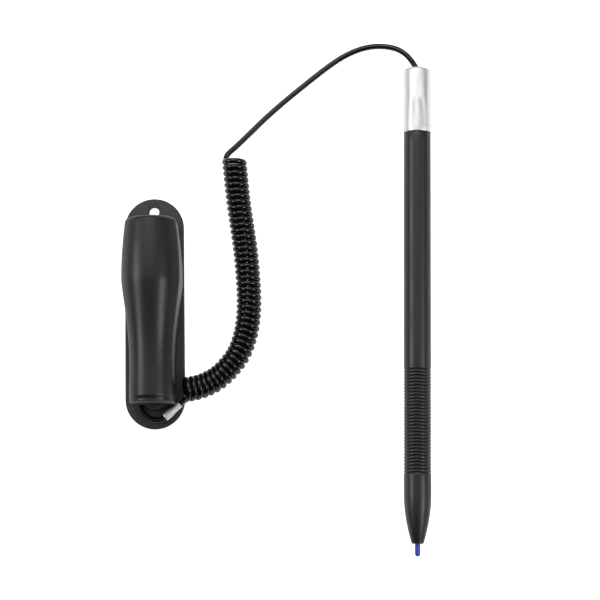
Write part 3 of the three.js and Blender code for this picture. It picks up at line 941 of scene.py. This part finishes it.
class STYLUS_OT_cup(bpy.types.Operator):
    """Makes the pen cup: a round front over straight sides, with its bore and its stepped foot"""

    bl_idname = "stylus.cup"
    bl_label = "Pen cup"

    def execute(self, context):
        holder = context.scene.stylus.holder
        low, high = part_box("pen_cup")
        plate_low, plate_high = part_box("base_plate")
        long = high.y - low.y
        front = low.z
        widest = max(cup_half_width(i / 50) for i in range(51))
        axis_z = high.z - holder.dome * widest
        post_y = plate_low.y + holder.plate_radius
        tunnel_end = post_y + holder.post_radius + holder.cord_room
        corner = holder.cup_corner

        def underside(y):
            """The foot stands clear of the plate where the cord passes under it."""
            return plate_high.z if y < tunnel_end else front

        def set_back(distance):
            """The front is set back a little at the foot, by a short slope above its lip."""
            depth, lip, slope = 0.36 * MM, 0.7 * MM, 1.3 * MM
            share = min(1.0, max(0.0, (distance - lip) / slope))
            return depth * (1 + math.cos(math.pi * share)) / 2

        def ring(y, half, top, bottom, dip):
            """One outline of the cup: its round front, small round rims, its sides and base."""
            rim = min(0.3 * MM, half / 4)
            rim_angle, rim_steps, arc_steps, wall_steps, base_steps = 17, 4, 68, 10, 16
            lean = math.radians(rim_angle)
            radius = (half - rim) / math.cos(lean) + rim
            middle = axis_z + top - radius
            rim_x, rim_z = (radius - rim) * math.cos(lean), middle + (radius - rim) * math.sin(lean)
            outline = arc(rim_x, rim_z, rim, 0, rim_angle, rim_steps)[:-1]
            outline += arc(0, middle, radius, rim_angle, 180 - rim_angle, arc_steps)
            outline += arc(-rim_x, rim_z, rim, 180 - rim_angle, 180, rim_steps)[1:]
            points = []
            for x, z in outline:
                way = Vector((x, 0, z - middle)).normalized()
                points.append(Vector((x, y, z)) - way * dip * way.z)
            for i in range(1, wall_steps):
                points.append(Vector((-half, y, rim_z + (bottom - rim_z) * i / wall_steps)))
            for i in range(base_steps):
                points.append(Vector((-half + 2 * half * i / base_steps, y, bottom)))
            for i in range(wall_steps):
                points.append(Vector((half, y, bottom + (rim_z - bottom) * i / wall_steps)))
            return points

        foot_corner, fine, coarse, hair = 0.3 * MM, 0.1 * MM, 0.6 * MM, 0.01 * MM
        distances = [foot_corner * (1 - math.cos(math.radians(a))) for a in range(0, 91, 9)]
        distances += [foot_corner + fine * i for i in range(1, 24)]
        start = distances[-1]
        count = round((long - corner - start) / coarse)
        distances += [start + (long - corner - start) * i / count for i in range(1, count + 1)]
        distances += [long - corner * (1 - math.sin(math.radians(a))) for a in range(9, 91, 9)]
        places = [low.y + d for d in distances]
        rings = []
        for y in sorted({*places, tunnel_end - hair, tunnel_end + hair}):
            distance = y - low.y
            half = cup_half_width(distance / long)
            edge = foot_corner if distance < long / 2 else corner
            near = max(0.0, edge - min(distance, long - distance))
            inset = edge - math.sqrt(max(0.0, edge**2 - near**2))
            half -= inset
            top = holder.dome * (half + inset) - inset
            rings.append(ring(y, half, top, underside(y), set_back(distance)))

        centre = Vector((0, 0, axis_z))
        first, last = rings[0], rings[-1]
        foot = [[Vector((p.x * s, p.y, axis_z + (p.z - axis_z) * s)) for p in first]
                for s in (0.25, 0.5, 0.75, 0.93)]
        bore, lip = holder.bore_radius, 0.5 * MM
        floor = low.y + holder.bore_floor
        neck, taper, halfway = 2.25 * MM, 12.2 * MM, 30 * MM
        profile = [(bore + lip - r, z) for r, z in arc(0, high.y - lip, lip, 90, 0, 6)]
        profile += [(bore, floor + halfway), (bore, floor + taper), (neck, floor)]
        mouth = [self.bore_ring(last, centre, radius, y) for radius, y in profile]
        land = [[a.lerp(b, s) for a, b in zip(last, mouth[0])] for s in (0.06, 0.94)]
        skin = [*foot, *rings, *land, *mouth]
        points, faces = loft(skin, Vector((0, low.y, axis_z)), Vector((0, floor, axis_z)))
        finish = satin_moulded_abs("satin_moulded_abs_cup", holder.cup_colour, 1.47)
        cup = make_object("cup", points, faces, finish, 40)
        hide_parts("pen_cup")
        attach(cup, "holder")
        return {"FINISHED"}

    @staticmethod
    def bore_ring(outline, centre, radius, y):
        """A ring round the bore whose points face those of an outline."""
        made = []
        for p in outline:
            way = Vector((p.x, 0, p.z - centre.z)).normalized()
            made.append(Vector((way.x * radius, y, centre.z + way.z * radius)))
        return made


class STYLUS_OT_screws(bpy.types.Operator):
    """Gives the two screws behind the plate their zinc-plated finish"""

    bl_idname = "stylus.screws"
    bl_label = "Cup screws"

    def execute(self, context):
        finish = metal("zinc_plated_steel", linear("#b4b5b2"), 0.28, 0.42, 0.6, 0.01)
        for name in ("cup_screw_upper", "cup_screw_lower"):
            paint(name, finish)
        return {"FINISHED"}


def paint(node, finish):
    """Gives a CAD node its finish."""
    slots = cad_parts[node].data.materials
    slots.clear()
    slots.append(finish)


# ---- Pen ----------------------------------------------------------------------------------------


def pen_piece(context, name, profile, finish, segments, replaced, sharp=35):
    """Makes a turned piece of the pen and places it on the pen's axis."""
    made = make_object(name, *turned(profile, segments), finish, sharp)
    made.matrix_world = pen_matrix(context.scene.stylus.pen)
    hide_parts(replaced)
    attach(made, "pen")


class STYLUS_OT_cap(bpy.types.Operator):
    """Makes the brushed metal end cap, with the hole that the cord goes into"""

    bl_idname = "stylus.cap"
    bl_label = "End cap"

    def execute(self, context):
        settings = context.scene.stylus
        pen = settings.pen
        top = pen_length(pen)
        seam = top - pen.cap_length
        outer, wall, end_wall = pen.cap_radius, 0.7 * MM, 1.2 * MM
        hole = settings.cord.diameter / 2 + 0.3 * MM
        round_edge, fine = 0.75 * MM, 0.12 * MM
        profile = [(outer - wall, seam + fine)]
        profile += arc(outer - fine, seam + fine, fine, -90, 0, 4)
        rows, straight = 12, top - seam - fine - round_edge
        profile += [(outer, seam + fine + straight * i / rows) for i in range(1, rows)]
        profile += arc(outer - round_edge, top - round_edge, round_edge, 0, 90, 10)
        profile += arc(hole + fine, top - fine, fine, 90, 180, 4)
        profile += [(hole, top - end_wall), (outer - wall, top - end_wall)]
        finish = brushed_anodised_aluminium("brushed_anodised_aluminium", pen.cap_colour)
        pen_piece(context, "metal_cap", profile[::-1], finish, 128, "end_cap")
        return {"FINISHED"}


class STYLUS_OT_barrel(bpy.types.Operator):
    """Makes the barrel with its ribbed grip and tapered nose"""

    bl_idname = "stylus.barrel"
    bl_label = "Barrel"

    def execute(self, context):
        pen = context.scene.stylus.pen
        seam = pen_length(pen) - pen.cap_length
        nose_tip, radius = pen.nib_reach, pen.radius
        nose_root = nose_tip + pen.nose_length
        stem, wall, edge = pen.nib_radius + 0.12 * MM, 1.3 * MM, 0.2 * MM
        fullness = 1.9  # of the nose: 1 is a cone
        profile = [(stem, nose_tip + 0.5 * MM)]
        profile += arc(stem + edge, nose_tip + edge, edge, 180, 270, 4)
        end_round = 0.45 * MM
        end_middle = pen.nose_end_radius - end_round
        profile += arc(end_middle, nose_tip + end_round, end_round, -90, -12, 7)
        steps = 28
        for i in range(steps, -1, -1):
            share = i / steps
            y = nose_root - (pen.nose_length - 0.5 * MM) * share
            profile.append((radius - (radius - pen.nose_end_radius) * share**fullness, y))
        grip_top = seam - pen.grip_start
        grip_low = grip_top - pen.rib_pitch * pen.rib_count
        rows, plain = 12, grip_low - nose_root
        profile += [(radius, nose_root + plain * i / rows) for i in range(1, rows)]
        # Each groove takes 45% of the pitch and has a round bottom. The rib between is crowned.
        for rib in range(pen.rib_count):
            low = grip_low + pen.rib_pitch * rib
            for share, sunk in (
                (0.0, 0.1), (0.08, 0.45), (0.16, 0.85), (0.24, 1.0), (0.32, 0.85), (0.4, 0.45),
                (0.48, 0.12), (0.58, 0.02), (0.74, 0.0), (0.9, 0.02),
            ):
                profile.append((radius - pen.rib_depth * sunk, low + pen.rib_pitch * share))
        steps = 24
        profile += [(radius, grip_top + (seam - edge - grip_top) * i / steps) for i in range(steps)]
        profile += arc(radius - edge, seam - edge, edge, 0, 90, 4)
        profile += [(radius - wall, seam), (radius - wall, nose_root), (stem, nose_root - 2 * MM)]
        finish = satin_moulded_abs("satin_moulded_abs_barrel", pen.barrel_colour)
        pen_piece(
            context, "pen_barrel", profile[::-1], finish, 96, "barrel", sharp=50
        )
        return {"FINISHED"}


class STYLUS_OT_nib(bpy.types.Operator):
    """Makes the blue nib with its round tip"""

    bl_idname = "stylus.nib"
    bl_label = "Nib"

    def execute(self, context):
        pen = context.scene.stylus.pen
        radius = pen.nib_radius
        low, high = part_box("nib")
        top = high.y - low.y
        profile = [(r, y + radius) for r, y in arc(0, 0, radius, -90, -4, 12)]
        profile[0] = (0, 0)
        profile += [(radius, radius * 1.1), (radius * 1.03, pen.nib_reach * 0.9)]
        profile += [(radius * 1.03, pen.nib_reach), (radius * 1.03, top), (0, top)]
        finish = moulded_acetal("moulded_acetal", pen.nib_colour)
        pen_piece(context, "blue_nib", profile[::-1], finish, 48, "nib", sharp=60)
        return {"FINISHED"}


class STYLUS_OT_insides(bpy.types.Operator):
    """Gives the plug and the cord's stop inside the pen their finishes"""

    bl_idname = "stylus.insides"
    bl_label = "Inside the pen"

    def execute(self, context):
        paint("cap_plug", moulded_plastic("moulded_abs_plug", linear("#2f3032"), 0.5, 0.4, 0.008))
        paint("cord_stop", metal("turned_brass", linear("#c9a45a"), 0.2, 0.35, 0.3, 0.01))
        return {"FINISHED"}


# ---- Panel and registration ---------------------------------------------------------------------

OPERATORS = (
    STYLUS_OT_stage,
    STYLUS_OT_ferrule,
    STYLUS_OT_cord,
    STYLUS_OT_pad,
    STYLUS_OT_plate,
    STYLUS_OT_cup,
    STYLUS_OT_screws,
    STYLUS_OT_cap,
    STYLUS_OT_barrel,
    STYLUS_OT_nib,
    STYLUS_OT_insides,
)


class STYLUS_PT_panel(bpy.types.Panel):
    """Lists the pieces of the stylus in the order they are made"""

    bl_idname = "STYLUS_PT_panel"
    bl_label = "Tethered stylus"
    bl_space_type = "VIEW_3D"
    bl_region_type = "UI"
    bl_category = "Stylus"

    def draw(self, context):
        for operator in OPERATORS:
            self.layout.operator(operator.bl_idname)


CLASSES = (
    StylusHolderSettings,
    StylusCordSettings,
    StylusPenSettings,
    StylusStageSettings,
    StylusSettings,
    *OPERATORS,
    STYLUS_PT_panel,
)


def register():
    for cls in CLASSES:
        bpy.utils.register_class(cls)
    bpy.types.Scene.stylus = PointerProperty(type=StylusSettings)


def unregister():
    del bpy.types.Scene.stylus
    for cls in reversed(CLASSES):
        bpy.utils.unregister_class(cls)


def main():
    register()
    for operator in OPERATORS:
        group, name = operator.bl_idname.split(".")
        getattr(getattr(bpy.ops, group), name)()


if __name__ == "__main__":
    main()
